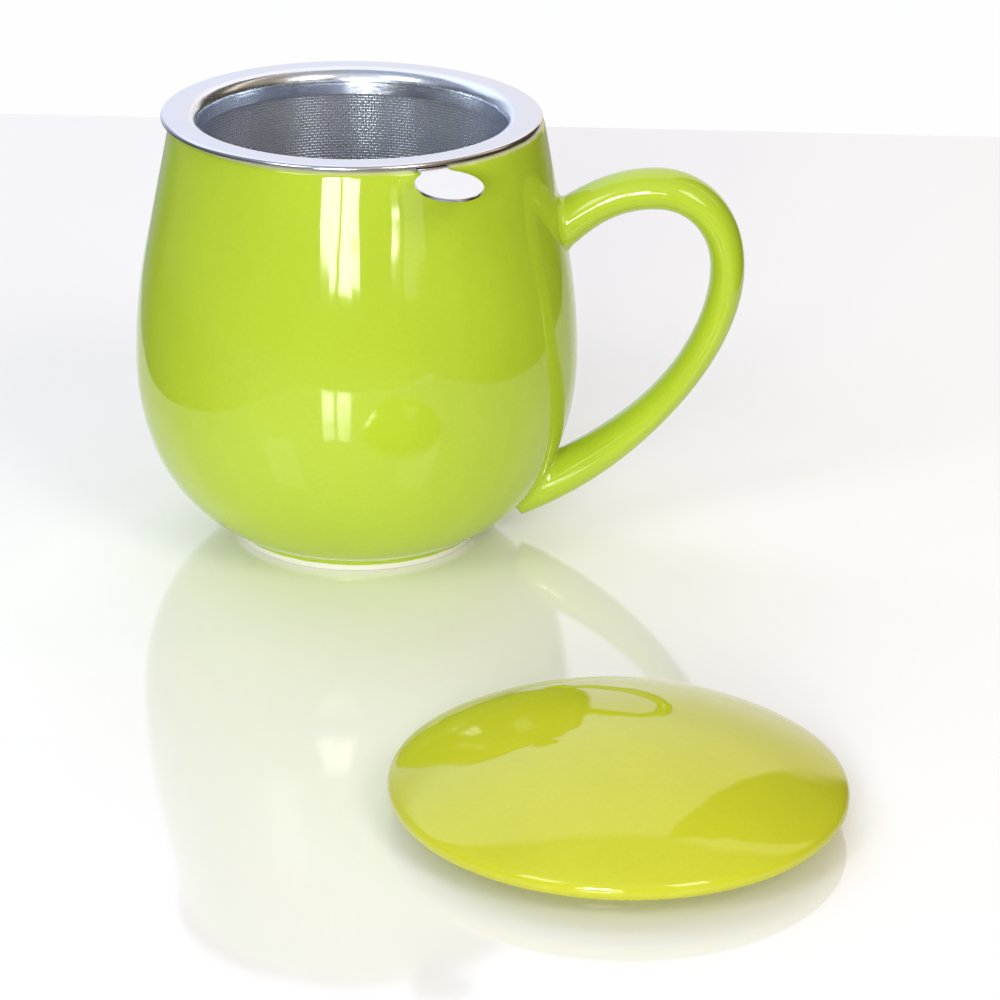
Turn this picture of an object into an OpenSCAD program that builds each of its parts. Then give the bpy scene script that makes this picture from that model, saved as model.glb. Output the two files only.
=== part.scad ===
// Lidded tea mug with a lift-out strainer basket.
// Z is up, the origin is on the mug's axis in the plane of its foot, and the handle points along +X.
// The lid lies beside the mug, dome up, on its locating ring.

/* [Mug bowl] */
// Height of the lip above the table
mug_h = 88.3; // [80:0.1:100]
// Greatest outer radius of the bowl
belly_r = 45.3; // [42:0.1:50]
// Height of the bowl's widest line
belly_z = 37.8; // [32:0.1:44]
// Radius of the curve above the widest line
shoulder_arc = 123; // [90:1:180]
// Lean of the straight upper wall in degrees
wall_lean = 11.45; // [8:0.05:14]
// Radius of the curve just under the widest line
flank_arc = 51.4; // [45:0.1:60]
// Angle at which the lower curve tightens in degrees
flank_turn = 18.3; // [12:0.1:26]
// Radius of the tight lower curve
under_arc = 33.5; // [29:0.1:36]
// Thickness of the bowl's wall
wall_t = 3; // [2.2:0.1:3.6]
// Thickness of the bowl's floor
floor_t = 4; // [3:0.1:7]

/* [Foot ring] */
// Outer radius of the foot ring
foot_r = 25.4; // [22:0.1:26]
// Height of the foot ring
foot_h = 2.4; // [1.6:0.1:3.5]
// Width of the foot ring
foot_w = 3.2; // [2:0.1:6]
// Depth of the hollow under the foot
foot_hollow = 1.7; // [0.8:0.1:2.2]
// Rounding of the foot ring's edges
foot_round = 0.6; // [0.2:0.1:0.9]

/* [Handle] */
// Height of the handle's upper root on the wall
root_top_z = 66.4; // [60:0.1:72]
// Height of the handle's tail on the wall
root_tail_z = 8; // [6:0.1:14]
// Height of the handle's middle line at the top of its arch
arch_z = 74.9; // [70:0.1:82]
// How far the middle line of the handle stands out from the widest wall
handle_reach = 30.1; // [24:0.1:38]
// Height at which the handle stands out furthest
reach_z = 58; // [50:0.1:64]
// Half thickness of the handle at the top of its arch
grip_top = 4.1; // [3:0.1:5]
// Half thickness of the handle on its outer run
grip_side = 3.5; // [2.6:0.1:4.5]
// Half thickness of the handle on its lower run
grip_low = 3.1; // [2.4:0.1:4]
// Half width of the handle across
grip_w = 5.5; // [4:0.1:7]
// Extra half thickness where the handle's upper root flares into the wall
root_flare = 0.5; // [0:0.1:2]
// Extra half thickness where the handle's tail flares into the wall
tail_flare = 1.7; // [0.5:0.1:3]

/* [Strainer rim] */
// Overhang of the flange past the outside of the mug's lip
flange_over = 0.46; // [0.4:0.02:3]
// Clearance between the basket and the mug's mouth
mouth_play = 3; // [1.7:0.05:4]
// Height of the collar under the flange's top face
collar_h = 5.1; // [3.6:0.1:8]
// Thickness of the steel sheet
sheet_t = 0.45; // [0.3:0.05:0.7]
// Radius of the bend from flange to collar on its visible side
bend_r = 2.8; // [1:0.1:3.2]
// Height of the flange's turned-down edge
hem_h = 0.85; // [0.7:0.05:1.2]
// Sideways play taken up by the strainer on the lip
seat_shift = 1; // [0:0.1:1.3]

/* [Thumb tab] */
// Direction of the tab around the mug in degrees
tab_turn = -62.5; // [-90:0.5:-40]
// Radius of the tab's round end
tab_r = 6.65; // [5:0.05:8]
// How far the round end's middle stands out from the flange's edge
tab_out = 8.1; // [7.2:0.1:12]
// Thickness of the tab
tab_t = 0.6; // [0.4:0.05:0.8]
// Half width of the tab's neck
neck_w = 3; // [2:0.1:4]
// Radius of the curve between neck and round end
neck_arc = 2; // [1:0.1:3]
// Droop of the tab in degrees
tab_droop = 8; // [3:0.5:12]
// Gap between the tab and the lip that it rests on
tab_gap = 0.25; // [0.2:0.05:0.6]

/* [Strainer basket] */
// Depth of the basket under the flange's top face
basket_h = 61; // [45:0.5:70]
// Thickness of the wire cloth
cloth_t = 0.4; // [0.3:0.05:0.6]
// Gap between the cloth and the steel pieces round it
cloth_gap = 0.05; // [0.02:0.01:0.1]
// Height of the cloth's lap on the collar
lap_h = 2.2; // [1.5:0.1:2.5]
// Width of the seam where the cloth overlaps itself
seam_w = 4; // [2:0.5:5]
// Direction of the seam around the basket in degrees
seam_turn = -120; // [-170:1:-90]
// Height of the hoop round the basket's foot
hoop_h = 3; // [2:0.1:6]
// Width of the hoop's lip under the basket's floor
hoop_lip = 2.6; // [1.5:0.1:5]
// Thickness of the hoop's sheet
hoop_t = 0.35; // [0.3:0.05:0.6]

/* [Lid] */
// Radius of the lid
lid_r = 40.6; // [39:0.1:44]
// Radius of the dome's curve
dome_arc = 77.5; // [70:0.5:100]
// Radius of the lid's rounded edge
edge_r = 2; // [1.6:0.1:2.4]
// Thickness of the dome
dome_t = 3.2; // [2.4:0.1:3.6]
// Depth of the locating ring under the lid's flat land
ring_h = 4.6; // [3:0.1:7]
// Play of the locating ring in the strainer's collar
ring_play = 0.95; // [0.5:0.05:1.6]
// Width of the locating ring
ring_w = 2.7; // [2:0.1:3.5]
// Place of the lid beside the mug along X
lid_x = 55; // [40:1:80]
// Place of the lid beside the mug along Y
lid_y = -129.4; // [-160:0.1:-125]

/* [Hidden] */
glaze = "#A9C926";
steel = "#C9CBD0";
wire = "#8D929A";

// Centres of the bowl's curves, all tangent to one another
shoulder_c = [belly_r - shoulder_arc, belly_z];
flank_c = [belly_r - flank_arc, belly_z];
under_c = flank_c + (flank_arc - under_arc) * [cos(flank_turn), -sin(flank_turn)];
// Where the straight upper wall starts on the outer face
lean_p = shoulder_c + shoulder_arc * [cos(wall_lean), sin(wall_lean)];
// Middle of the rounded lip
lip_z = mug_h - wall_t / 2;
lip_p = [lean_p.x - (lip_z - lean_p.y) * tan(wall_lean) - wall_t / 2 / cos(wall_lean), lip_z];
floor_z = foot_hollow + floor_t;

// Radii of the strainer, from the mug's mouth inwards
flange_r = lip_p.x + wall_t / 2 + flange_over;
basket_r = lip_p.x - wall_t / 2 - mouth_play;
cloth_r = basket_r - cloth_t;
collar_out = cloth_r - cloth_gap;
collar_r = collar_out - sheet_t;
tab_reach = flange_r + tab_out;

// Heights of the strainer
flange_z = mug_h + tab_gap + tab_t + sheet_t;
flange_under = flange_z - sheet_t;
collar_z = flange_z - collar_h;
basket_z = flange_z - basket_h;

// The lid's heights while it stands on its ring
land_z = ring_h;
edge_z = land_z + edge_r * 0.68;
dome_c = edge_z - sqrt(pow(dome_arc - edge_r, 2) - pow(lid_r - edge_r, 2));
ring_r = collar_r - ring_play;

// Outer radius of the bowl at height z
function bowl_r(z) =
  z > lean_p.y ? lean_p.x - (z - lean_p.y) * tan(wall_lean)
  : z > belly_z ? shoulder_c.x + sqrt(pow(shoulder_arc, 2) - pow(z - belly_z, 2))
  : z > belly_z - flank_arc * sin(flank_turn)
    ? flank_c.x + sqrt(pow(flank_arc, 2) - pow(belly_z - z, 2))
  : under_c.x + sqrt(pow(under_arc, 2) - pow(under_c.y - z, 2));

// Points along a circular arc, from one angle to another in n steps
function arc(c, r, from, to, n) =
  [for (i = [0 : n]) let (a = from + (to - from) * i / n) c + r * [cos(a), sin(a)]];

// The bowl's side in half section, t inside its outer face, from height z0 up to the lip
function side(t, z0) = concat(
  arc(under_c, under_arc - t, -asin((under_c.y - z0) / (under_arc - t)), -flank_turn - 2.5, 18),
  arc(flank_c, flank_arc - t, -flank_turn, 0, 9),
  [for (p = arc(shoulder_c, shoulder_arc - t, 0, wall_lean, 6)) if (p.y > belly_z) p]);

// Solid form that the bowl fills, from height z0 up
module bowl_form(z0) {
  top_z = mug_h + 4;
  rotate_extrude($fn = 180)
    polygon(concat([[0, z0]], side(0, z0), [[bowl_r(top_z), top_z], [0, top_z]]));
}

// Foot ring in half section, from the hollow's middle round to the bowl's side
function foot_line() = concat(
  [[0, foot_hollow], [foot_r - foot_w, foot_hollow]],
  arc([foot_r - foot_w + foot_round, foot_round], foot_round, 180, 270, 6),
  arc([foot_r - foot_round, foot_round], foot_round, 270, 360, 6),
  [[foot_r, foot_h]]);

module mug_body() {
  inside = side(wall_t, floor_z);
  color(glaze) rotate_extrude($fn = 180) polygon(concat(
    foot_line(), side(0, foot_h),
    arc(lip_p, wall_t / 2, wall_lean, wall_lean + 180, 18),
    [for (i = [len(inside) - 1 : -1 : 0]) inside[i]], [[0, floor_z]]));
}

// The handle's middle line runs through three curves: the rise from the upper root,
// the shoulder of the arch, and the long run down to the tail.
function curve(p, t) = p[0] * pow(1 - t, 3) + 3 * p[1] * t * pow(1 - t, 2)
  + 3 * p[2] * t * t * (1 - t) + p[3] * pow(t, 3);
reach_r = belly_r + handle_reach;
root_p = [bowl_r(root_top_z) - 1.6, root_top_z - 0.6];
tail_p = [bowl_r(root_tail_z) - 1.2, root_tail_z];
arch_p = [root_p.x + (reach_r - root_p.x) * 0.58, arch_z];
side_p = [reach_r, reach_z];
rise = [root_p, root_p + [0.32 * (arch_p.x - root_p.x), 0.63 * (arch_z - root_p.y)],
        arch_p - [0.38 * (arch_p.x - root_p.x), 0], arch_p];
shoulder = [arch_p, arch_p + [0.59 * (reach_r - arch_p.x), 0],
            side_p + [0, 0.57 * (arch_z - reach_z)], side_p];
run = [side_p, side_p - [0, 0.3 * (reach_z - tail_p.y)],
       tail_p + [0.69 * (reach_r - tail_p.x), 0.26 * (reach_z - tail_p.y)], tail_p];
rings = 16;
sides = 28;
route = concat([for (i = [0 : rings - 1]) curve(rise, i / rings)],
               [for (i = [0 : rings - 1]) curve(shoulder, i / rings)],
               [for (i = [0 : 2 * rings]) curve(run, i / rings / 2)]);
last = len(route) - 1;
// Share of the way along the handle, 0 at the upper root and 1 at the tail
function share(i) = i / last;
function mix(a, b, t) = a + (b - a) * (3 - 2 * t) * t * t;
function grip(s) = s < 0.25 ? grip_top
  : s < 0.5 ? mix(grip_top, grip_side, (s - 0.25) / 0.25)
  : s < 0.8 ? mix(grip_side, grip_low, (s - 0.5) / 0.3) : grip_low;
function flare(s) = root_flare * exp(-pow(s / 0.07, 2)) + tail_flare * exp(-pow((1 - s) / 0.16, 2));
function heading(i) = let (d = route[min(i + 1, last)] - route[max(i - 1, 0)]) d / norm(d);
function ring_points(i) = let (s = share(i), d = heading(i), n = [-d.y, d.x],
    a = grip(s) + flare(s), b = grip_w + 0.6 * flare(s) - 1.4 * pow(max(0, s - 0.8) / 0.2, 2))
  [for (k = [0 : sides - 1]) let (u = route[i] + n * a * cos(k * 360 / sides))
    [u.x, b * sin(k * 360 / sides), u.y]];

module mug_handle() {
  points = [for (i = [0 : last]) each ring_points(i)];
  skin = [for (i = [0 : last - 1], k = [0 : sides - 1]) let (m = (k + 1) % sides)
    each [[i * sides + k, i * sides + m, (i + 1) * sides + m],
          [i * sides + k, (i + 1) * sides + m, (i + 1) * sides + k]]];
  caps = [[for (k = [sides - 1 : -1 : 0]) k], [for (k = [0 : sides - 1]) last * sides + k]];
  color(glaze) difference() {
    polyhedron(points, concat(skin, caps));
    bowl_form(foot_h - 1);
  }
}

// Places a piece of the strainer on its own axis, pushed over to one side of the lip
module seated() {
  translate([-seat_shift, 0, 0]) children();
}

module strainer_rim() {
  edge = sheet_t + 0.25;
  color(steel) seated() rotate_extrude($fn = 180) {
    // flange
    translate([collar_r + bend_r, flange_under])
      square([flange_r - edge - collar_r - bend_r, sheet_t]);
    // turned-down edge
    intersection() {
      translate([flange_r - edge, flange_z - edge]) difference() {
        circle(r = edge, $fn = 48);
        circle(r = edge - sheet_t, $fn = 48);
      }
      translate([flange_r - edge, flange_z - edge]) square(edge);
    }
    translate([flange_r - sheet_t, flange_z - hem_h]) square([sheet_t, hem_h - edge]);
    // bend into the collar
    intersection() {
      translate([collar_r + bend_r, flange_z - bend_r]) difference() {
        circle(r = bend_r, $fn = 48);
        circle(r = bend_r - sheet_t, $fn = 48);
      }
      translate([collar_r, flange_z - bend_r]) square(bend_r);
    }
    translate([collar_r, collar_z]) square([sheet_t, collar_h - bend_r]);
  }
}

module thumb_tab() {
  weld_x = collar_r + bend_r + 0.6;
  dip_x = lip_p.x + seat_shift * cos(tab_turn) + 0.2 * wall_t / 2;
  hem_x = flange_r - sheet_t - 0.05;
  hem_drop = hem_h - sheet_t + 0.1;
  end_x = tab_reach + tab_r + 1;
  far_drop = hem_drop + (end_x - hem_x) * tan(tab_droop);
  arc_x = tab_reach - sqrt(pow(tab_r + neck_arc, 2) - pow(neck_w + neck_arc, 2));
  root_w = neck_w + neck_arc + 0.2;
  root_x = arc_x - neck_arc - 0.5;
  top = flange_under;
  color(steel) seated() rotate([0, 0, tab_turn]) intersection() {
    // outline from above: root, neck and round end
    translate([0, 0, flange_under - far_drop - 2 * tab_t]) linear_extrude(height = far_drop + 3 * tab_t) {
      difference() {
        polygon([[weld_x, -root_w], [root_x, -root_w], [arc_x, -neck_w - neck_arc],
                 [tab_reach, 0], [arc_x, neck_w + neck_arc], [root_x, root_w],
                 [weld_x, root_w]]);
        for (m = [-1, 1])
          translate([arc_x, m * (neck_w + neck_arc)]) circle(r = neck_arc, $fn = 60);
      }
      translate([tab_reach, 0]) circle(r = tab_r, $fn = 120);
    }
    // bent strip from the side: flat weld, dip past the hem, drooping end
    rotate([90, 0, 0]) linear_extrude(height = 2 * tab_r + 8, center = true)
      polygon([[weld_x - 1, top], [dip_x, top], [hem_x, top - hem_drop], [end_x, top - far_drop],
               [end_x, top - far_drop - tab_t], [hem_x, top - hem_drop - tab_t],
               [dip_x, top - tab_t], [weld_x - 1, top - tab_t]]);
  }
}

module basket_wall() {
  wall_z = basket_z + hoop_t;
  wall_top = collar_z + lap_h;
  seam_z = basket_z + hoop_h + 0.5;
  seam_angle = seam_w / basket_r * 180 / PI;
  color(wire) seated() {
    difference() {
      translate([0, 0, wall_z])
        cylinder(r = basket_r, h = wall_top - wall_z, $fn = 180);
      translate([0, 0, wall_z - 1])
        cylinder(r = cloth_r, h = wall_top - wall_z + 2, $fn = 180);
    }
    // the cloth's free edge, welded down over its start
    rotate([0, 0, seam_turn - seam_angle / 2]) rotate_extrude(angle = seam_angle, $fn = 180)
      translate([cloth_r + cloth_t / 2, seam_z]) square([cloth_t * 1.5, collar_z - seam_z]);
  }
}

module basket_floor() {
  color(wire) seated() translate([0, 0, basket_z + hoop_t])
    cylinder(r = cloth_r - cloth_gap, h = cloth_t, $fn = 180);
}

module base_hoop() {
  in_r = basket_r + cloth_gap;
  color(steel) seated() translate([0, 0, basket_z]) rotate_extrude($fn = 180) {
    translate([in_r - hoop_lip, 0]) square([hoop_lip + hoop_t, hoop_t]);
    translate([in_r, 0]) square([hoop_t, hoop_h]);
  }
}

module lid() {
  // where the dome's curve runs into the rounded edge
  turn = atan2(edge_z - dome_c, lid_r - edge_r);
  land_turn = -asin((edge_z - land_z) / edge_r);
  in_r = ring_r - ring_w;
  under_r = dome_arc - dome_t;
  color(glaze) translate([lid_x, lid_y, 0]) rotate_extrude($fn = 180) polygon(concat(
    // the dome from its middle out, the rounded edge and the flat land under it
    arc([0, dome_c], dome_arc, 90, turn + 0.6, 24),
    arc([lid_r - edge_r, edge_z], edge_r, turn, land_turn, 16),
    // locating ring with a rounded foot
    [[ring_r, land_z]], arc([ring_r - ring_w / 2, ring_w / 2], ring_w / 2, 0, -180, 14),
    // the dome's underside inside the ring
    arc([0, dome_c], under_r, acos(in_r / under_r), 90, 18)));
}

mug_body();
mug_handle();
strainer_rim();
thumb_tab();
basket_wall();
basket_floor();
base_hoop();
lid();
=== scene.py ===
import bpy, bmesh
from math import sin, cos, tan, asin, acos, atan2, sqrt, exp, hypot, pi, radians, degrees
from mathutils import Matrix, Vector


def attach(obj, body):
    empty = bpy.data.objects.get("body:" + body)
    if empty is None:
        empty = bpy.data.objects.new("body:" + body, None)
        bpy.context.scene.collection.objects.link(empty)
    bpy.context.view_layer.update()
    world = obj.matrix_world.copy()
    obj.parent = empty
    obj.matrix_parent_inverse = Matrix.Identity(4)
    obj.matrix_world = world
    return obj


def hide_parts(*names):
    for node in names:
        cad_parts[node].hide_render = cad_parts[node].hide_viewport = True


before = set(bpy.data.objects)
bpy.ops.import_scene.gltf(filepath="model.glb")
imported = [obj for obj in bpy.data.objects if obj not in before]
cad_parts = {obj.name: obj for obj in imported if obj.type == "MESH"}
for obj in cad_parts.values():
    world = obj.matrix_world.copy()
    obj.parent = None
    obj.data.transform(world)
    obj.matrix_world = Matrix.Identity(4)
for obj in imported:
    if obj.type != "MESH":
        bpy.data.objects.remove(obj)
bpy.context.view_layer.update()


# ---- Camera -------------------------------------------------------------
# A long lens looking down at the mug's mouth from in front, with the lid in
# the foreground.
def placed(name, data):
    """Puts a new object into the scene."""
    thing = bpy.data.objects.new(name, data)
    bpy.context.collection.objects.link(thing)
    return thing


lens_mm, eye, yaw_deg, tip_deg, roll_deg = 130.18, (0.04893, -0.69967, 0.29197), 1.5592, 67.7883, 0.898
lens_data = bpy.data.cameras.new("camera")
lens_data.sensor_width = 36
lens_data.lens = lens_mm
lens_data.clip_start, lens_data.clip_end = 0.05, 50
camera = placed("camera", lens_data)
camera.matrix_world = (Matrix.Translation(eye)
                       @ Matrix.Rotation(radians(yaw_deg), 4, "Z")
                       @ Matrix.Rotation(radians(tip_deg), 4, "X")
                       @ Matrix.Rotation(radians(roll_deg), 4, "Z"))
bpy.context.scene.camera = camera
bpy.context.scene.view_settings.view_transform = "Standard"


# ---- Table and room -----------------------------------------------------
# A white lacquered table top with a far edge, in a bright room. The wall behind
# is white. The side behind the camera is dimmer, with a tall window in it, a
# narrow one beside that, and a skylight on either hand.
def tint(hex_colour):
    """An sRGB hex colour as the linear colour that a socket takes."""
    channels = [int(hex_colour[i:i + 2], 16) / 255 for i in (1, 3, 5)]
    linear = [c / 12.92 if c < 0.04045 else ((c + 0.055) / 1.055) ** 2.4 for c in channels]
    return tuple(linear) + (1,)


def plug(node, links):
    """Fills a node's sockets, each from a value, a socket or a node's first output in use."""
    for socket, value in links.items():
        if isinstance(value, bpy.types.Node):
            value = next(output for output in value.outputs if output.enabled)
        if isinstance(value, bpy.types.NodeSocket):
            node.id_data.links.new(value, node.inputs[socket])
        else:
            node.inputs[socket].default_value = value


def add(tree, kind, links=None, **settings):
    """Adds one node, with its settings and what goes into its sockets."""
    node = tree.nodes.new(kind)
    for name, value in settings.items():
        setattr(node, name, value)
    plug(node, links or {})
    return node


def new_finish(name):
    """A material with its tree and the surface node that the finish is given to."""
    finish = bpy.data.materials.new(name)
    finish.use_nodes = True
    return finish, finish.node_tree, finish.node_tree.nodes["Principled BSDF"]


left_x, right_x, near_y, far_y, slab = -0.125, 0.195, -0.245, 0.2985, 0.03
table_mesh = bpy.data.meshes.new("table_top")
table_mesh.from_pydata([(x, y, z) for z in (0, -slab) for x, y in (
    (left_x, near_y), (right_x, near_y), (right_x, far_y), (left_x, far_y))], [],
    [(0, 1, 2, 3), (7, 6, 5, 4), (0, 4, 5, 1), (1, 5, 6, 2), (2, 6, 7, 3), (3, 7, 4, 0)])
table_top = placed("table_top", table_mesh)

# White lacquer: a hard, nearly flat gloss that mirrors what stands on it
lacquer, tree, skin = new_finish("white_lacquer")
plug(skin, {"Base Color": tint("#FDFDFD"), "Roughness": 0.07, "IOR": 1.8})
table_mesh.materials.append(lacquer)

room = bpy.data.worlds.new("room")
room.use_nodes = True
bpy.context.scene.world = room
tree = room.node_tree
tree.nodes.clear()
way = add(tree, "ShaderNodeSeparateXYZ", {0: add(tree, "ShaderNodeTexCoord").outputs["Generated"]}).outputs
behind = add(tree, "ShaderNodeMath", {0: way["Y"], 1: -1}, operation="MULTIPLY")
heading = add(tree, "ShaderNodeMath", {0: way["X"], 1: behind}, operation="ARCTAN2")
turn = add(tree, "ShaderNodeMath", {0: heading, 1: 1 / (2 * pi), 2: 0.5}, operation="MULTIPLY_ADD")
brightest = 1.6


def grey(brightness):
    """A brightness of the room, as a share of the brightest."""
    return (brightness / brightest,) * 3 + (1,)


def by_heading(*stops):
    """Brightness by heading in degrees: 0 is the side of the camera, 90 the handle's."""
    ramp = add(tree, "ShaderNodeValToRGB", {0: turn})
    while len(ramp.color_ramp.elements) < len(stops):
        ramp.color_ramp.elements.new(0.5)
    for stop, (heading_deg, brightness) in zip(ramp.color_ramp.elements, stops):
        stop.position = heading_deg / 360 + 0.5
        stop.color = grey(brightness)
    return ramp


# the walls: white behind the mug, dim behind the camera and dark at the right;
# below the table's edge the floor is darker still
walls = by_heading((-180, 1.25), (-158, 1.2), (-140, 0.6), (-112, 0.24), (-60, 0.16), (-10, 0.28),
                   (56, 0.3), (66, 0.07), (151, 0.07), (155, 1.25), (180, 1.25))
floor = by_heading((-180, 0.5), (-150, 0.5), (-132, 0.08), (-80, 0.1), (-45, 0.46), (45, 0.46),
                   (75, 0.04), (140, 0.04), (153, 0.5), (180, 0.5))
above_floor = add(tree, "ShaderNodeMapRange", {"Value": way["Z"], "From Min": -0.17, "From Max": -0.09},
                  interpolation_type="SMOOTHSTEP")
around = add(tree, "ShaderNodeMix", {"Factor": above_floor, "A": floor, "B": walls}, data_type="RGBA")
# the ceiling: bright over the far side and over the camera, dimmer at the sides
# and straight above
near_side = by_heading((-64, 0.42), (-48, 0.8), (50, 0.8), (68, 0.4))
zenith = add(tree, "ShaderNodeMapRange", {"Value": way["Z"], "From Min": 0.84, "From Max": 0.96},
             interpolation_type="SMOOTHSTEP")
near_half = add(tree, "ShaderNodeMix", {"Factor": zenith, "A": near_side, "B": grey(0.55)}, data_type="RGBA")
far_side = add(tree, "ShaderNodeMapRange", {"Value": way["Y"], "From Min": 0.22, "From Max": 0.29},
               interpolation_type="SMOOTHSTEP")
overhead = add(tree, "ShaderNodeMix", {"Factor": far_side, "A": near_half, "B": grey(brightest)},
               data_type="RGBA")
# a dark stairwell at the right cuts into the ceiling up to a corner, which is
# given sideways and backwards per unit of height
corner = (0.193, 0.262)
across = add(tree, "ShaderNodeMath", {0: way["Z"], 1: -corner[0], 2: way["X"]}, operation="MULTIPLY_ADD")
along = add(tree, "ShaderNodeMath", {0: way["Z"], 1: -corner[1], 2: way["Y"]}, operation="MULTIPLY_ADD")
spread = add(tree, "ShaderNodeMath", {0: along, 1: across}, operation="ARCTAN2")
near_edge = add(tree, "ShaderNodeMapRange", {
    "Value": spread, "From Min": radians(22.5), "From Max": radians(25.5)}, interpolation_type="SMOOTHSTEP")
far_edge = add(tree, "ShaderNodeMapRange", {
    "Value": spread, "From Min": radians(67), "From Max": radians(64.5)}, interpolation_type="SMOOTHSTEP")
stairwell = add(tree, "ShaderNodeMath", {0: near_edge, 1: far_edge}, operation="MULTIPLY")
above = add(tree, "ShaderNodeMix", {"Factor": stairwell, "A": overhead, "B": grey(0.1)}, data_type="RGBA")
ceiling = add(tree, "ShaderNodeMapRange", {"Value": way["Z"], "From Min": 0.3, "From Max": 0.55},
              interpolation_type="SMOOTHSTEP")
depth = add(tree, "ShaderNodeMix", {"Factor": ceiling, "A": around, "B": above}, data_type="RGBA")
# daylight is cool on the left and in front, and the room's own light warm at the right
side = add(tree, "ShaderNodeMapRange", {"Value": way["X"], "From Min": -0.2, "From Max": 0.7})
tone = add(tree, "ShaderNodeMix", {"Factor": side, "A": tint("#EAF0FF"), "B": tint("#FFE7C4")},
           data_type="RGBA")
lit = add(tree, "ShaderNodeMix", {"Factor": 1.0, "A": depth, "B": tone}, data_type="RGBA",
          blend_type="MULTIPLY")
room_light = add(tree, "ShaderNodeBackground", {"Color": lit, "Strength": brightest})
backdrop = add(tree, "ShaderNodeBackground", {"Color": tint("#FEFEFF"), "Strength": 1.0})
to_camera = add(tree, "ShaderNodeLightPath").outputs["Is Camera Ray"]
seen = add(tree, "ShaderNodeMixShader", {0: to_camera, 1: room_light, 2: backdrop})
add(tree, "ShaderNodeOutputWorld", {"Surface": seen})


def window(name, heading_deg, low_deg, high_deg, wide_deg, radiance, far=2.4, aim_z=0.06):
    """A window, given by where it is seen from the mug: its heading, lower and upper edge and width."""
    a, low_z, high_z = radians(heading_deg), far * tan(radians(low_deg)), far * tan(radians(high_deg))
    wide = 2 * far * tan(radians(wide_deg / 2))
    data = bpy.data.lights.new(name, "AREA")
    data.shape, data.size, data.size_y = "RECTANGLE", wide, high_z - low_z
    data.energy = radiance * pi * wide * (high_z - low_z)
    data.color = tint("#FFFDF7")[:3]
    at = Vector((far * sin(a), -far * cos(a), (low_z + high_z) / 2 + aim_z))
    facing = (Vector((0, 0, aim_z)) - at).to_track_quat("-Z", "Y")
    placed(name, data).matrix_world = Matrix.Translation(at) @ facing.to_matrix().to_4x4()


for pane, heading_deg, wide_deg in (("a", -11.4, 10.4), ("b", 0.2, 10)):
    window("lower_pane_" + pane, heading_deg, 4.7, 10, wide_deg, radiance=17)
for pane, heading_deg, wide_deg in (("a", -10.6, 6.4), ("b", -3, 5.6)):
    window("middle_pane_" + pane, heading_deg, 10.3, 16.2, wide_deg, radiance=34)
    window("upper_pane_" + pane, heading_deg, 17, 22, wide_deg, radiance=18)
window("sill_a", -9.4, 4.05, 4.7, 3.4, radiance=16)
window("sill_b", -2.2, 4, 4.7, 6.4, radiance=16)
window("left_skylight", -38, 25, 44, 19, radiance=4.4)
window("right_skylight", 38, 25, 44, 20, radiance=5)
window("side_window", 25, 4.7, 5.15, 4.6, radiance=24)
window("side_curtain", 36, 3.3, 9, 13, radiance=1.2)


# ---- Mug bowl -----------------------------------------------------------
# Pot-bellied porcelain bowl, slip-cast in one piece with its foot ring and
# dipped in an opaque lime-green glaze. The foot is wiped bare, and the glaze
# breaks pale over the thin lip.
MM = 0.001
mug_h, belly_r, belly_z = 88.3, 45.3, 37.8
shoulder_arc, flank_arc, under_arc = 123, 51.4, 33.5
wall_lean, flank_turn, wall_t, floor_t = 11.45, 18.3, 3, 4
foot_r, foot_h, foot_w, foot_hollow, foot_round, foot_fillet = 25.4, 2.4, 3.2, 1.7, 0.6, 0.35

shoulder_c = (belly_r - shoulder_arc, belly_z)
flank_c = (belly_r - flank_arc, belly_z)
under_c = (flank_c[0] + (flank_arc - under_arc) * cos(radians(flank_turn)),
           flank_c[1] - (flank_arc - under_arc) * sin(radians(flank_turn)))
lean_p = (shoulder_c[0] + shoulder_arc * cos(radians(wall_lean)),
          shoulder_c[1] + shoulder_arc * sin(radians(wall_lean)))
lip_z = mug_h - wall_t / 2
lip_r = lean_p[0] - (lip_z - lean_p[1]) * tan(radians(wall_lean)) - wall_t / 2 / cos(radians(wall_lean))


def bowl_radius(z):
    """The bowl's outer radius at a height."""
    if z > lean_p[1]:
        return lean_p[0] - (z - lean_p[1]) * tan(radians(wall_lean))
    if z > belly_z:
        return shoulder_c[0] + sqrt(shoulder_arc ** 2 - (z - belly_z) ** 2)
    if z > belly_z - flank_arc * sin(radians(flank_turn)):
        return flank_c[0] + sqrt(flank_arc ** 2 - (belly_z - z) ** 2)
    return under_c[0] + sqrt(max(0, under_arc ** 2 - (under_c[1] - z) ** 2))


def arc(centre, r, start, end, n):
    """Points on an arc in the half section, angles in degrees."""
    angles = [radians(start + (end - start) * i / n) for i in range(n + 1)]
    return [(centre[0] + r * cos(a), centre[1] + r * sin(a)) for a in angles]


def bowl_side(inset, z0):
    """The bowl's side from height z0 up to the lip, inset from its outer face."""
    first = -degrees(asin((under_c[1] - z0) / (under_arc - inset)))
    return (arc(under_c, under_arc - inset, first, -flank_turn, 36)
            + arc(flank_c, flank_arc - inset, -flank_turn, 0, 12)[1:]
            + arc(shoulder_c, shoulder_arc - inset, 0, wall_lean, 14)[1:])


def straight(a, b, n):
    """The points that divide a straight stretch of the half section into n parts."""
    return [(a[0] + (b[0] - a[0]) * i / n, a[1] + (b[1] - a[1]) * i / n) for i in range(1, n)]


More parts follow.
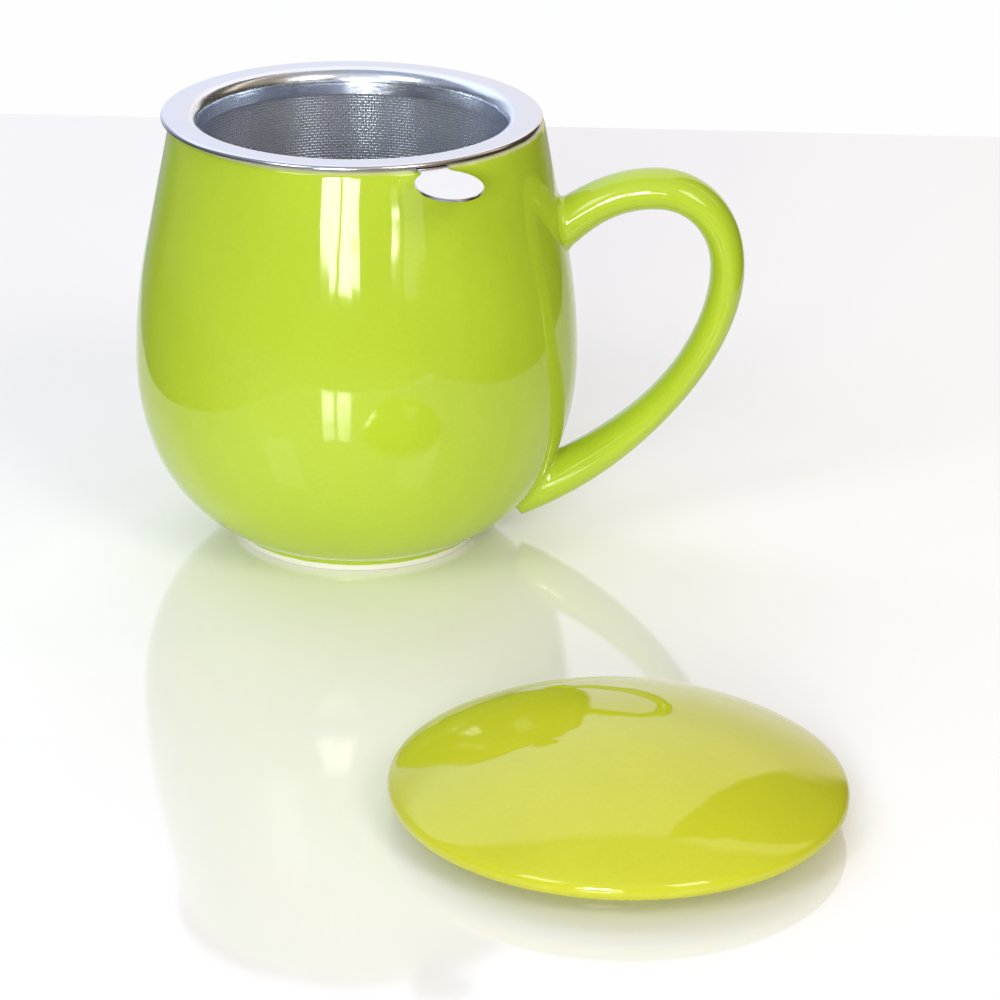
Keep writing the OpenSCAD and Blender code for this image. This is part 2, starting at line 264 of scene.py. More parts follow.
def turned(name, outline, centre=(0, 0), steps=240, ring=False, sharp=32):
    """A form turned round the vertical axis from its half section in mm, closed if it is a ring."""
    mesh = bpy.data.meshes.new(name)
    form = bmesh.new()
    rows = []
    for r, z in outline:
        if r < 1e-6:
            rows.append([form.verts.new((centre[0] * MM, centre[1] * MM, z * MM))])
        else:
            rows.append([form.verts.new(((centre[0] + r * cos(2 * pi * k / steps)) * MM,
                                         (centre[1] + r * sin(2 * pi * k / steps)) * MM, z * MM))
                         for k in range(steps)])
    for a, b in zip(rows, rows[1:] + (rows[:1] if ring else [])):
        for k in range(steps):
            m = (k + 1) % steps
            if len(a) == 1:
                form.faces.new((a[0], b[m], b[k]))
            elif len(b) == 1:
                form.faces.new((a[k], a[m], b[0]))
            else:
                form.faces.new((a[k], a[m], b[m], b[k]))
    bmesh.ops.recalc_face_normals(form, faces=form.faces)
    form.to_mesh(mesh)
    form.free()
    mesh.shade_smooth()
    mesh.set_sharp_from_angle(angle=radians(sharp))
    return placed(name, mesh)


outer = bowl_side(0, foot_h)
inner = bowl_side(wall_t, foot_hollow + floor_t)
inner_z = inner[0][1]
lip = arc((lip_r, lip_z), wall_t / 2, wall_lean, wall_lean + 180, 24)
foot = ([(r, foot_hollow) for r in (0, 8, 16, foot_r - foot_w)]
        + arc((foot_r - foot_w + foot_round, foot_round), foot_round, 180, 270, 6)
        + arc((foot_r - foot_round, foot_round), foot_round, 270, 360, 6)
        + [(foot_r, foot_h - 0.5)]
        + arc((foot_r + foot_fillet, foot_h - foot_fillet), foot_fillet, 180, 90, 4))
bowl = turned("bowl", foot + outer[1:] + straight(outer[-1], lip[0], 14) + lip
              + straight(lip[-1], inner[-1], 14) + inner[::-1] + [(14, inner_z), (0, inner_z)])


# Porcelain glaze, fired glossy: nearly a mirror at a glancing angle, with the
# slow ripple that makes window reflections waver, and faint mottling where it
# ran thicker. The ripple is some 14 mm across, 35 mm from top to bottom and a
# few hundredths of a millimetre deep.
def fired_glaze(name, body="#B3CC34", lip_mm=None, foot_mm=None):
    glaze, tree, skin = new_finish(name)
    place = add(tree, "ShaderNodeTexCoord").outputs["Object"]
    mottle = add(tree, "ShaderNodeTexNoise", {
        "Vector": place, "Scale": 1 / (26 * MM), "Detail": 3, "Roughness": 0.45})
    shift = add(tree, "ShaderNodeMapRange", {
        "Value": mottle, "From Min": 0.3, "From Max": 0.7, "To Min": 0.965, "To Max": 1.03})
    specks = add(tree, "ShaderNodeTexNoise", {"Vector": place, "Scale": 1 / (0.9 * MM), "Detail": 2})
    fleck = add(tree, "ShaderNodeMapRange", {
        "Value": specks, "From Min": 0.36, "From Max": 0.62, "To Min": 0.985, "To Max": 1.01})
    depth = add(tree, "ShaderNodeMath", {0: shift, 1: fleck}, operation="MULTIPLY")
    colour = add(tree, "ShaderNodeHueSaturation", {"Value": depth, "Color": tint(body)})
    gloss = 0.05
    height = add(tree, "ShaderNodeSeparateXYZ", {0: place}).outputs["Z"]
    waver = add(tree, "ShaderNodeTexNoise", {"Vector": place, "Scale": 1 / (5 * MM), "Detail": 2})
    if lip_mm:
        # the glaze thins towards the lip and breaks over it
        edge = add(tree, "ShaderNodeMath", {0: waver, 1: 0.5 * MM, 2: height}, operation="MULTIPLY_ADD")
        thinning = add(tree, "ShaderNodeMapRange", {
            "Value": edge, "From Min": (lip_mm - 0.5) * MM, "From Max": (lip_mm + 0.1) * MM},
            interpolation_type="SMOOTHSTEP")
        colour = add(tree, "ShaderNodeMix", {"Factor": thinning, "A": colour, "B": tint("#E9EAC0")},
                     data_type="RGBA")
    if foot_mm:
        # the wiped foot: a wavering line between glaze and bare porcelain
        line = add(tree, "ShaderNodeMath", {0: waver, 1: -0.35 * MM, 2: height}, operation="MULTIPLY_ADD")
        wiped = add(tree, "ShaderNodeMapRange", {
            "Value": line, "From Min": (foot_mm + 0.25) * MM, "From Max": (foot_mm - 0.1) * MM},
            interpolation_type="SMOOTHSTEP")
        colour = add(tree, "ShaderNodeMix", {"Factor": wiped, "A": colour, "B": tint("#F0EEE6")},
                     data_type="RGBA")
        gloss = add(tree, "ShaderNodeMapRange", {"Value": wiped, "To Min": gloss, "To Max": 0.75})
    upright = add(tree, "ShaderNodeMapping", {"Vector": place, "Scale": (1, 1, 0.4)})
    ripple = add(tree, "ShaderNodeTexNoise", {
        "Vector": upright, "Scale": 1 / (14 * MM), "Detail": 2, "Roughness": 0.45})
    facing = add(tree, "ShaderNodeBump", {"Height": ripple, "Strength": 1.0, "Distance": 0.22 * MM})
    plug(skin, {"Base Color": colour, "Roughness": gloss, "IOR": 1.52, "Normal": facing})
    return glaze


lime_glaze = fired_glaze("lime_glaze", lip_mm=mug_h, foot_mm=1.15)
inside_glaze = fired_glaze("clear_glaze", body="#EDEBE2")
bowl.data.materials.append(lime_glaze)
bowl.data.materials.append(inside_glaze)
# the clear glaze lines the bowl from the lip's inner side down
for face in bowl.data.polygons:
    x, y, z = (v / MM for v in face.center)
    past_lip = hypot(x, y) < lip_r - 1 or z < mug_h - 3
    if past_lip and z > foot_hollow + 1 and hypot(x, y) < bowl_radius(z) - wall_t / 2:
        face.material_index = 1
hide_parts("mug_body")
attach(bowl, "mug")


# ---- Mug handle ---------------------------------------------------------
# A cast loop of flattened round section, luted to the bowl with slip at both
# ends and glazed with it, so the glaze fills the corner where it meets the wall.
root_top_z, root_tail_z, arch_z = 66.4, 8, 74.9
handle_reach, reach_z, grip_w = 30.1, 58, 5.5
grip_top, grip_side, grip_low, root_flare, tail_flare = 4.1, 3.5, 3.1, 0.5, 1.7
root_sink, tail_sink = 1.6, 1.2
reach_r = belly_r + handle_reach
root_p = Vector((bowl_radius(root_top_z) - root_sink, root_top_z - 0.6))
tail_p = Vector((bowl_radius(root_tail_z) - tail_sink, root_tail_z))
arch_p = Vector((root_p.x + (reach_r - root_p.x) * 0.58, arch_z))
side_p = Vector((reach_r, reach_z))
# the middle line in three curves of four points: up to the arch, over it to the
# side, and back down to the tail
rise = (root_p, root_p + Vector((0.32 * (arch_p.x - root_p.x), 0.63 * (arch_z - root_p.y))),
        arch_p - Vector((0.38 * (arch_p.x - root_p.x), 0)), arch_p)
shoulder = (arch_p, arch_p + Vector((0.59 * (reach_r - arch_p.x), 0)),
            side_p + Vector((0, 0.57 * (arch_z - reach_z))), side_p)
run = (side_p, side_p - Vector((0, 0.3 * (reach_z - tail_p.y))),
       tail_p + Vector((0.69 * (reach_r - tail_p.x), 0.26 * (reach_z - tail_p.y))), tail_p)


def handle_point(s):
    """Middle line of the handle: s runs from 0 at the upper root to 1 at the tail."""
    p, t = ((rise, s * 4) if s < 0.25 else (shoulder, s * 4 - 1) if s < 0.5 else (run, s * 2 - 1))
    return p[0] * (1 - t) ** 3 + p[1] * 3 * t * (1 - t) ** 2 + p[2] * 3 * t * t * (1 - t) + p[3] * t ** 3


def eased(a, b, t):
    """From a to b, starting and ending gently."""
    return a + (b - a) * (3 - 2 * t) * t * t


def handle_grip(s):
    """Half the handle's thickness along its middle line."""
    if s < 0.25:
        return grip_top
    if s < 0.5:
        return eased(grip_top, grip_side, (s - 0.25) / 0.25)
    return eased(grip_side, grip_low, (s - 0.5) / 0.3) if s < 0.8 else grip_low


fillet = 1.5


def fillet_out(at, outward):
    """Where a point of the handle's skin goes once the glaze has filled the corner at the wall."""
    r = hypot(at.x, at.y)
    lean = (bowl_radius(at.z + 0.05) - bowl_radius(at.z - 0.05)) / 0.1
    wall = Vector((at.x / r, at.y / r, -lean)).normalized()
    clear = (r - bowl_radius(at.z)) / sqrt(1 + lean * lean)
    if clear > fillet:
        return at
    along = outward - wall * outward.dot(wall)
    if along.length < 1e-6:
        return at
    clear = max(0, clear)
    return at + along.normalized() * (fillet - sqrt(fillet ** 2 - (fillet - clear) ** 2))


# the sections stand closer together at both roots, where the skin curves most
stations = ([i * 0.003 for i in range(40)] + [0.12 + i * 0.006 for i in range(106)]
            + [0.756 + i * 0.00305 for i in range(81)])
sides, root_fade, tail_fade, tail_slim = 44, 0.07, 0.16, 1.4
form = bmesh.new()
rings = []
for s in stations:
    s = min(s, 1)
    centre = handle_point(s)
    ahead = (handle_point(min(1, s + 1e-3)) - handle_point(max(0, s - 1e-3))).normalized()
    across = Vector((-ahead.y, ahead.x))
    flare = root_flare * exp(-(s / root_fade) ** 2) + tail_flare * exp(-((1 - s) / tail_fade) ** 2)
    thick = handle_grip(s) + flare
    wide = grip_w + 0.6 * flare - tail_slim * (max(0, s - 0.8) / 0.2) ** 2
    ring = []
    for k in range(sides):
        bearing = 2 * pi * k / sides
        out = Vector((across.x * thick * cos(bearing), wide * sin(bearing), across.y * thick * cos(bearing)))
        at = fillet_out(Vector((centre.x, 0, centre.y)) + out, out.normalized())
        ring.append(form.verts.new(at * MM))
    rings.append(ring)
for a, b in zip(rings, rings[1:]):
    for k in range(sides):
        form.faces.new((a[k], a[(k + 1) % sides], b[(k + 1) % sides], b[k]))
form.faces.new(rings[0])
form.faces.new(rings[-1][::-1])
bmesh.ops.recalc_face_normals(form, faces=form.faces)
handle_mesh = bpy.data.meshes.new("handle")
form.to_mesh(handle_mesh)
form.free()
handle_mesh.shade_smooth()
handle_mesh.materials.append(lime_glaze)
handle = placed("handle", handle_mesh)
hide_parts("mug_handle")
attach(handle, "mug")


# ---- Strainer rim -------------------------------------------------------
# Stainless sheet, pressed into a flat flange with a turned-down edge and a
# short collar. It rests on the mug's lip, pushed over to the side away from
# the handle.
sheet_t, bend_r, hem_h, collar_h = 0.45, 2.8, 0.85, 5.1
flange_over, mouth_play, cloth_t, cloth_gap, tab_t, tab_gap = 0.46, 3, 0.4, 0.05, 0.6, 0.25
seat = (-1, 0)
flange_r = lip_r + wall_t / 2 + flange_over
basket_r = lip_r - wall_t / 2 - mouth_play
collar_r = basket_r - cloth_t - cloth_gap - sheet_t
flange_z = mug_h + tab_gap + tab_t + sheet_t
collar_z = flange_z - collar_h
under_bend_z = flange_z - bend_r - 0.6
edge = sheet_t + 0.25
rim = turned("rim", (
    [(flange_r, flange_z - hem_h)] + arc((flange_r - edge, flange_z - edge), edge, 0, 90, 8)
    + straight((flange_r - edge, flange_z), (collar_r + bend_r, flange_z), 6)
    + arc((collar_r + bend_r, flange_z - bend_r), bend_r, 90, 180, 12)
    + [(collar_r, under_bend_z), (collar_r, collar_z), (collar_r + sheet_t, collar_z),
       (collar_r + sheet_t, under_bend_z)]
    + arc((collar_r + bend_r, flange_z - bend_r), bend_r - sheet_t, 180, 90, 8)
    + arc((flange_r - edge, flange_z - edge), edge - sheet_t, 90, 0, 6)
    + [(flange_r - sheet_t, flange_z - hem_h)]), seat, ring=True)


# Polished 18/8 stainless: rolled, then buffed in circles, so it mirrors softly
# with a fine grain round the axis. The real grain is about 0.05 mm; it is
# drawn at 0.25 mm so that it shows.
def buffed_steel(name, centre, colour="#D3D4DB", rough=0.16, grain_mm=0.25, dent_mm=0.0, lean=None):
    steel, tree, skin = new_finish(name)
    place = add(tree, "ShaderNodeMapping", {"Vector": add(tree, "ShaderNodeTexCoord").outputs["Object"],
                                            "Location": (-centre[0] * MM, -centre[1] * MM, 0)})
    parts = add(tree, "ShaderNodeSeparateXYZ", {0: place}).outputs
    flat = add(tree, "ShaderNodeCombineXYZ", {"X": parts["X"], "Y": parts["Y"]})
    out = add(tree, "ShaderNodeVectorMath", {0: flat}, operation="LENGTH")
    round_angle = add(tree, "ShaderNodeMath", {0: parts["Y"], 1: parts["X"]}, operation="ARCTAN2")
    slow = add(tree, "ShaderNodeMath", {0: round_angle, 1: 4 * MM}, operation="MULTIPLY")
    lay = add(tree, "ShaderNodeCombineXYZ", {"X": out, "Y": slow, "Z": parts["Z"]})
    grain = add(tree, "ShaderNodeTexNoise", {"Vector": lay, "Scale": 1 / (grain_mm * MM), "Detail": 3})
    cloud = add(tree, "ShaderNodeTexNoise", {"Vector": place, "Scale": 1 / (9 * MM), "Detail": 3})
    smear = add(tree, "ShaderNodeMath", {0: grain, 1: cloud}, operation="MULTIPLY")
    dulled = add(tree, "ShaderNodeMapRange", {
        "Value": smear, "From Min": 0.15, "From Max": 0.4, "To Min": rough * 0.75, "To Max": rough * 1.3})
    facing = add(tree, "ShaderNodeBump", {"Height": grain, "Strength": 0.25, "Distance": 0.004 * MM})
    if dent_mm:
        # shallow dents that the drawing left, some 4 mm across
        dents = add(tree, "ShaderNodeTexNoise", {"Vector": place, "Scale": 1 / (4 * MM), "Detail": 2})
        facing = add(tree, "ShaderNodeBump", {
            "Height": dents, "Strength": 1.0, "Distance": dent_mm * MM, "Normal": facing})
    if lean:
        # it opens upwards a little, up to the height where the bend begins
        degrees_out, up_to = lean
        level = add(tree, "ShaderNodeMath", {0: parts["Z"], 1: up_to * MM}, operation="MINIMUM")
        slope = add(tree, "ShaderNodeMath", {0: level, 1: -tan(radians(degrees_out))}, operation="MULTIPLY")
        facing = add(tree, "ShaderNodeBump", {
            "Height": slope, "Strength": 1.0, "Distance": 1.0, "Normal": facing})
    plug(skin, {"Base Color": tint(colour), "Metallic": 1, "Roughness": dulled, "Normal": facing})
    return steel


# the collar, drawn down between punch and die, stays duller than the buffed
# flange; its paler, bluer colour is a painted reflection of the cool daylight
rim.data.materials.append(buffed_steel("buffed_steel", seat))
rim.data.materials.append(buffed_steel("drawn_collar", seat, "#DCE4F2", 0.24, dent_mm=0.06,
                                       lean=(6, flange_z - bend_r)))
# the collar's finish runs up the bend to where it flattens into the flange
for face in rim.data.polygons:
    x, y, z = (v / MM for v in face.center)
    if hypot(x - seat[0], y) < collar_r + bend_r * 0.75 and z < flange_z - bend_r * 0.06:
        face.material_index = 1
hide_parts("strainer_rim")
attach(rim, "strainer")


# ---- Thumb tab ----------------------------------------------------------
# A stamped tongue of the same steel, tumbled smooth, spot-welded under the
# flange: it passes over the lip, steps down under the turned edge and ends in
# a round pad for the thumb.
tab_turn, tab_r, tab_out, neck_w, neck_arc, tab_droop, tab_edge = -62.5, 6.65, 8.1, 3, 2, 8, 0.14
tab_reach = flange_r + tab_out
weld_x = collar_r + bend_r + 0.6
dip_x = lip_r - seat[0] * cos(radians(tab_turn)) + 0.2 * wall_t / 2
hem_x = flange_r - sheet_t - 0.05
hem_drop = hem_h - sheet_t + 0.1
neck_end = tab_reach - sqrt((tab_r + neck_arc) ** 2 - (neck_w + neck_arc) ** 2)
root_x, root_w = neck_end - neck_arc - 0.5, neck_w + neck_arc + 0.2
join = degrees(atan2(neck_w + neck_arc, neck_end - tab_reach))


def tab_height(x):
    """Top face of the tab along its length."""
    if x < dip_x:
        return 0
    if x < hem_x:
        return -hem_drop * (x - dip_x) / (hem_x - dip_x)
    return -hem_drop - (x - hem_x) * tan(radians(tab_droop))


# half the outline: the welded root, the hollow corner of the neck, the round pad
upper = ([(weld_x, root_w), (root_x, root_w)]
         + arc((neck_end, neck_w + neck_arc), neck_arc, 205, join + 180, 10)
         + arc((tab_reach, 0), tab_r, join, 0, 40)[1:])
upper = [p for p in upper if p[1] > -1e-9]
outline = upper + [(x, -y) for x, y in upper[::-1] if y > 1e-6]
form = bmesh.new()
form.faces.new([form.verts.new((x, y, 0)) for x, y in outline])
cuts = 48
for i in range(1, cuts):
    x = weld_x + (tab_reach + tab_r - weld_x) * i / cuts
    bmesh.ops.bisect_plane(form, geom=form.verts[:] + form.edges[:] + form.faces[:],
                           plane_co=(x, 0, 0), plane_no=(1, 0, 0))
under = bmesh.ops.extrude_face_region(form, geom=form.faces[:])["geom"]
bmesh.ops.translate(form, verts=[v for v in under if isinstance(v, bmesh.types.BMVert)], vec=(0, 0, -tab_t))
bmesh.ops.recalc_face_normals(form, faces=form.faces)
# tumbling rounds the edges between a flat face and the stamped side
round_edges = [e for e in form.edges if len({abs(f.normal.z) > 0.5 for f in e.link_faces}) == 2]
bmesh.ops.bevel(form, geom=round_edges, offset=tab_edge, segments=3, affect="EDGES")
for v in form.verts:
    v.co.z += flange_z - sheet_t + tab_height(v.co.x)
form.transform(Matrix.Translation((seat[0] * MM, seat[1] * MM, 0))
               @ Matrix.Rotation(radians(tab_turn), 4, "Z") @ Matrix.Scale(MM, 4))
bmesh.ops.recalc_face_normals(form, faces=form.faces)
tab_mesh = bpy.data.meshes.new("tab")
form.to_mesh(tab_mesh)
form.free()
tab_mesh.shade_smooth()
tab_mesh.set_sharp_from_angle(angle=radians(40))
tab = placed("tab", tab_mesh)
# tumbled steel has a soft, even shine, with a coarser and fainter grain
pad_middle = (20, -41)
tab_mesh.materials.append(buffed_steel("tumbled_steel", pad_middle, "#D4D4D4", 0.2, 0.35))
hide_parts("thumb_tab")
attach(tab, "strainer")


# ---- Wire cloth ---------------------------------------------------------
# Plain-woven stainless wire, rolled into a tube, lapped at one seam and closed
# by a disc of the same cloth at its foot. Each wire goes over one and under the
# next, which gives the slanted glints.
basket_h, hoop_t, lap_h, seam_w, seam_turn, hoop_h = 61, 0.35, 2.2, 4, -120, 3
basket_z = flange_z - basket_h
# the real wires are a little thinner and closer: they are drawn this coarse so
# that the weave shows
wire_r, wire_sway, pitch = 0.12, 0.09, 0.6
cloth_mid = basket_r - cloth_t / 2
wires_round = 2 * round(pi * cloth_mid / pitch)
cloth_low = basket_z + hoop_t
rows = int((collar_z + lap_h - cloth_low) / pitch)

weave = bpy.data.node_groups.new("plain_weave", "GeometryNodeTree")
for kind, names in (("Int", ("Wires", "Crossings", "First Wire")), ("Bool", ("Upright", "Flat")),
                    ("Float", ("Wire Radius", "Sway", "Pitch", "Tube Radius", "Step", "Start", "Edge")),
                    ("Vector", ("Foot",)), ("Material", ("Metal",))):
    for name in names:
        weave.interface.new_socket(name, in_out="INPUT", socket_type="NodeSocket" + kind)
weave.interface.new_socket("Cloth", in_out="OUTPUT", socket_type="NodeSocketGeometry")
given = add(weave, "NodeGroupInput").outputs
blank_wire = add(weave, "GeometryNodeCurvePrimitiveLine", {"End": (1, 0, 0)})
strand = add(weave, "GeometryNodeResampleCurve", {"Curve": blank_wire, "Count": given["Crossings"]})
places = add(weave, "GeometryNodeMeshLine", {"Count": given["Wires"], "Offset": (0, 0, 0.001)})
laid = add(weave, "GeometryNodeInstanceOnPoints", {"Points": places, "Instance": strand})
strands = add(weave, "GeometryNodeRealizeInstances", {0: laid})
index = add(weave, "GeometryNodeInputIndex")
crossing = add(weave, "ShaderNodeMath", {0: index, 1: given["Crossings"]}, operation="MODULO")
wires_passed = add(weave, "ShaderNodeMath", {0: index, 1: given["Crossings"]}, operation="DIVIDE")
wire_no = add(weave, "ShaderNodeMath", {0: wires_passed}, operation="FLOOR")
wire_at = add(weave, "ShaderNodeMath", {0: wire_no, 1: given["First Wire"]}, operation="ADD")
# over one, under the next: the two sets of wires take opposite sides
both = add(weave, "ShaderNodeMath", {0: crossing, 1: wire_at}, operation="ADD")
half_turns = add(weave, "ShaderNodeMath", {0: both, 1: pi}, operation="MULTIPLY")
over_under = add(weave, "ShaderNodeMath", {0: half_turns}, operation="COSINE")
sway = add(weave, "ShaderNodeMath", {0: over_under, 1: given["Sway"]}, operation="MULTIPLY")
other_way = add(weave, "ShaderNodeMath", {0: sway, 1: -1}, operation="MULTIPLY")
upright = given["Upright"]
side = add(weave, "GeometryNodeSwitch", {0: upright, 1: sway, 2: other_way}, input_type="FLOAT")
across_no = add(weave, "GeometryNodeSwitch", {0: upright, 1: crossing, 2: wire_at}, input_type="FLOAT")
up_no = add(weave, "GeometryNodeSwitch", {0: upright, 1: wire_at, 2: crossing}, input_type="FLOAT")
# on the tube
angle = add(weave, "ShaderNodeMath", {0: across_no, 1: given["Step"], 2: given["Start"]},
            operation="MULTIPLY_ADD")
out_r = add(weave, "ShaderNodeMath", {0: given["Tube Radius"], 1: side}, operation="ADD")
cosine = add(weave, "ShaderNodeMath", {0: angle}, operation="COSINE")
sine = add(weave, "ShaderNodeMath", {0: angle}, operation="SINE")
on_tube = add(weave, "ShaderNodeCombineXYZ", {
    "X": add(weave, "ShaderNodeMath", {0: cosine, 1: out_r}, operation="MULTIPLY"),
    "Y": add(weave, "ShaderNodeMath", {0: sine, 1: out_r}, operation="MULTIPLY"),
    "Z": add(weave, "ShaderNodeMath", {0: up_no, 1: given["Pitch"]}, operation="MULTIPLY")})
# on the flat disc
on_disc = add(weave, "ShaderNodeCombineXYZ", {
    "X": add(weave, "ShaderNodeMath", {0: across_no, 1: given["Pitch"], 2: given["Start"]},
             operation="MULTIPLY_ADD"),
    "Y": add(weave, "ShaderNodeMath", {0: up_no, 1: given["Pitch"], 2: given["Start"]},
             operation="MULTIPLY_ADD"),
    "Z": side})
spot = add(weave, "GeometryNodeSwitch", {0: given["Flat"], 1: on_tube, 2: on_disc}, input_type="VECTOR")
woven = add(weave, "GeometryNodeSetPosition", {"Geometry": strands, "Position": spot})
# the disc is cut out round
far_out = add(weave, "ShaderNodeVectorMath", {0: add(weave, "GeometryNodeInputPosition")}, operation="LENGTH")
outside = add(weave, "FunctionNodeCompare", {0: far_out, 1: given["Edge"]}, operation="GREATER_THAN")
past = add(weave, "FunctionNodeBooleanMath", {0: given["Flat"], 1: outside}, operation="AND")
trimmed = add(weave, "GeometryNodeDeleteGeometry", {"Geometry": woven, "Selection": past})
seated = add(weave, "GeometryNodeSetPosition", {"Geometry": trimmed, "Offset": given["Foot"]})
section = add(weave, "GeometryNodeCurvePrimitiveCircle", {"Resolution": 4, "Radius": given["Wire Radius"]})
drawn = add(weave, "GeometryNodeCurveToMesh", {
    "Curve": seated, "Fill Caps": True, "Profile Curve": section})
smooth = add(weave, "GeometryNodeSetShadeSmooth", {0: drawn})
whole = add(weave, "GeometryNodeRealizeInstances", {0: smooth})
finished = add(weave, "GeometryNodeSetMaterial", {"Geometry": whole, "Material": given["Metal"]})
add(weave, "NodeGroupOutput", {"Cloth": finished})

# Drawn stainless wire: bright along its crowns, with a slightly different tone
# from wire to wire. Both tones are tinted blue, a painted reflection of the cool
# daylight. The drawing die's scratches are too fine to show one by one and only
# soften the shine.
wire_steel, tree, skin = new_finish("drawn_wire")
place = add(tree, "ShaderNodeTexCoord").outputs["Object"]
tone = add(tree, "ShaderNodeTexNoise", {"Vector": place, "Scale": 1 / (1.5 * MM), "Detail": 3})
# the wire-to-wire tone between two blue-tinted whites: the blue is a painted reflection of the cool daylight
shade = add(tree, "ShaderNodeMix", {"Factor": tone, "A": tint("#D2E0FF"), "B": tint("#F6FAFF")},
            data_type="RGBA")
scratch = add(tree, "ShaderNodeTexNoise", {"Vector": place, "Scale": 1 / (0.08 * MM), "Detail": 1})
dulled = add(tree, "ShaderNodeMapRange", {"Value": scratch, "To Min": 0.17, "To Max": 0.28})
plug(skin, {"Base Color": shade, "Metallic": 1, "Roughness": dulled})


def wire_cloth(name, node, slot, **sizes):
    """One set of the cloth's wires, woven by the tree and made a plain mesh."""
    blank = placed(name + "_blank", bpy.data.meshes.new(name + "_blank"))
    loom = blank.modifiers.new("weave", "NODES")
    loom.node_group = weave
    values = {"Wire Radius": wire_r * MM, "Sway": wire_sway * MM, "Pitch": pitch * MM,
              "Tube Radius": cloth_mid * MM, "Step": 2 * pi / wires_round, "Start": 0.0,
              "Foot": (seat[0] * MM, seat[1] * MM, (cloth_low + wire_r) * MM), "Metal": wire_steel}
    values.update({key.replace("_", " "): value for key, value in sizes.items()})
    for item in weave.interface.items_tree:
        if item.in_out == "INPUT" and item.name in values:
            loom[item.identifier] = values[item.name]
    depsgraph = bpy.context.evaluated_depsgraph_get()
    mesh = bpy.data.meshes.new_from_object(blank.evaluated_get(depsgraph))
    mesh.name = name
    bpy.data.objects.remove(blank)
    piece = placed(name, mesh)
    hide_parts(node)
    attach(piece, "strainer")


# the tube, in four sets of wires
half = rows // 2
half_round = wires_round // 2
wire_cloth("cloth_rounds_low", "basket_wall", "wire_cloth", Wires=half, Crossings=wires_round + 1)
wire_cloth("cloth_rounds_high", "basket_wall", "wire_cloth", Wires=rows - half, First_Wire=half,
           Crossings=wires_round + 1)
wire_cloth("cloth_uprights_back", "basket_wall", "wire_cloth", Upright=True, Wires=half_round,
           Crossings=rows)
wire_cloth("cloth_uprights_front", "basket_wall", "wire_cloth", Upright=True,
           Wires=wires_round - half_round, First_Wire=half_round, Crossings=rows)
# the lapped seam, on the tube's outer side
lap_wires = 2 * round(seam_w / pitch / 2) + 1
lap_rows = int((collar_z - basket_z - hoop_h - 0.5) / pitch)
lap_place = {"Tube_Radius": (basket_r + cloth_t / 2) * MM,
             "Start": radians(seam_turn) - pi / wires_round * (lap_wires - 1),
             "Foot": (seat[0] * MM, seat[1] * MM, (basket_z + hoop_h + 0.6) * MM)}
wire_cloth("seam_rounds", "basket_wall", "wire_cloth", Wires=lap_rows, Crossings=lap_wires, **lap_place)
wire_cloth("seam_uprights", "basket_wall", "wire_cloth", Upright=True, Wires=lap_wires,
           Crossings=lap_rows, **lap_place)
# the disc
disc_r = basket_r - cloth_t - cloth_gap
reach_wires = int(disc_r / pitch)
disc_place = {"Flat": True, "Wires": 2 * reach_wires + 1, "Crossings": 2 * reach_wires + 1,
              "Start": -reach_wires * pitch * MM, "Edge": (disc_r - wire_r) * MM,
              "Foot": (seat[0] * MM, seat[1] * MM, (cloth_low + cloth_t / 2) * MM)}
wire_cloth("floor_wires_across", "basket_floor", "floor_cloth", **disc_place)
wire_cloth("floor_wires_along", "basket_floor", "floor_cloth", Upright=True, **disc_place)


# ---- Base hoop ----------------------------------------------------------
# A rolled steel hoop that clamps the cloth's foot and the disc together, with
# a lip turned in under the disc.
hoop_lip, hoop_round = 2.6, 0.35
hoop_r = basket_r + cloth_gap
hoop = turned("hoop", (
    [(hoop_r, basket_z + hoop_h), (hoop_r + hoop_t, basket_z + hoop_h)]
    + arc((hoop_r + hoop_t - hoop_round, basket_z + hoop_round), hoop_round, 0, -90, 6)
    + [(hoop_r - hoop_lip, basket_z), (hoop_r - hoop_lip, basket_z + hoop_t), (hoop_r, basket_z + hoop_t)]),
    seat, ring=True)
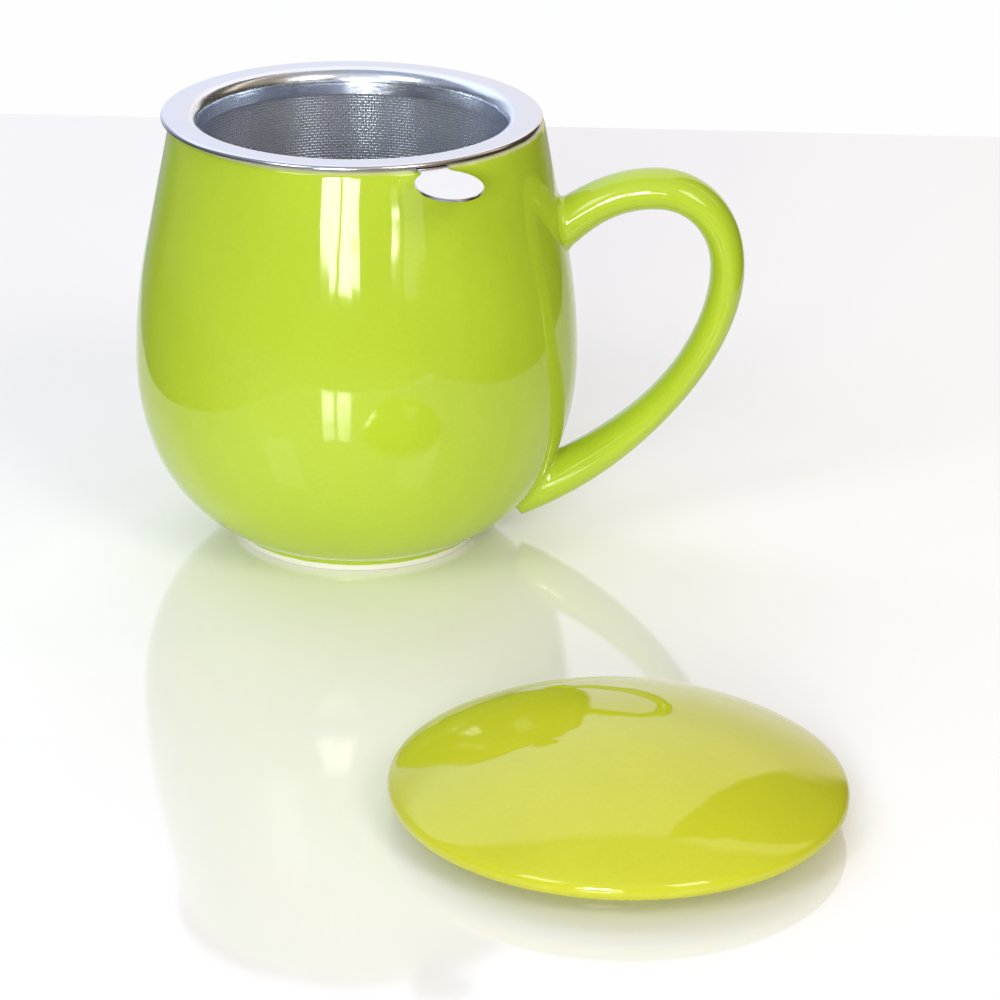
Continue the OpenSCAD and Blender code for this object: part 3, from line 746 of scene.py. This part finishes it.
# rolled strip shines greyer than the buffed rim
hoop.data.materials.append(buffed_steel("rolled_steel", seat, "#C6C9CF", 0.2))
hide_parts("base_hoop")
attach(hoop, "strainer")


# ---- Lid ----------------------------------------------------------------
# A loose porcelain dome without a knob. It lies on the ring under it that
# keeps it from sliding off the mug; the ring's foot is wiped bare.
lid_r, dome_arc, edge_r, dome_t, ring_h, ring_play, ring_w = 40.6, 77.5, 2, 3.2, 4.6, 0.95, 2.7
lid_at = (55, -129.4)
edge_share, ring_bevel = 0.68, 0.3
edge_z = ring_h + edge_r * edge_share
dome_c = edge_z - sqrt((dome_arc - edge_r) ** 2 - (lid_r - edge_r) ** 2)
ease_from, ease_to = 67, 41
ring_r = collar_r - ring_play
in_r, under_r = ring_r - ring_w, dome_arc - dome_t


def lid_side(steps=240):
    """The lid's top and rim: from the slope ease_from to ease_to, the dome's curve tightens to the rim's."""
    r, z = 0, dome_c + dome_arc
    points, step = [(r, z)], (pi / 2 + asin(edge_share)) / steps
    for i in range(steps):
        slope = pi / 2 - (i + 0.5) * step
        share = min(1, max(0, (degrees(slope) - ease_to) / (ease_from - ease_to)))
        bend = edge_r * (dome_arc / edge_r) ** eased(0, 1, share)
        r, z = r + bend * sin(slope) * step, z - bend * cos(slope) * step
        points.append((r, z))
    widest = max(r for r, z in points)
    return [(r * lid_r / widest, z) for r, z in points]


lid = turned("lid_dome", (
    lid_side() + [(ring_r + 4, ring_h), (ring_r + ring_bevel, ring_h), (ring_r, ring_h - ring_bevel)]
    + arc((ring_r - ring_w / 2, ring_w / 2), ring_w / 2, 0, -180, 20)
    + arc((0, dome_c), under_r, degrees(acos(in_r / under_r)), 90, 40)), lid_at, sharp=50)
lid.data.materials.append(fired_glaze("lid_glaze", body="#C4C82C", foot_mm=0.6))
lid.data.materials.append(inside_glaze)
# the hollow inside the ring is clear-glazed
for face in lid.data.polygons:
    x, y, z = (v / MM for v in face.center)
    if hypot(x - lid_at[0], y - lid_at[1]) < in_r + 0.3 and face.normal.z < 0.2:
        face.material_index = 1
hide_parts("lid")
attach(lid, "lid")
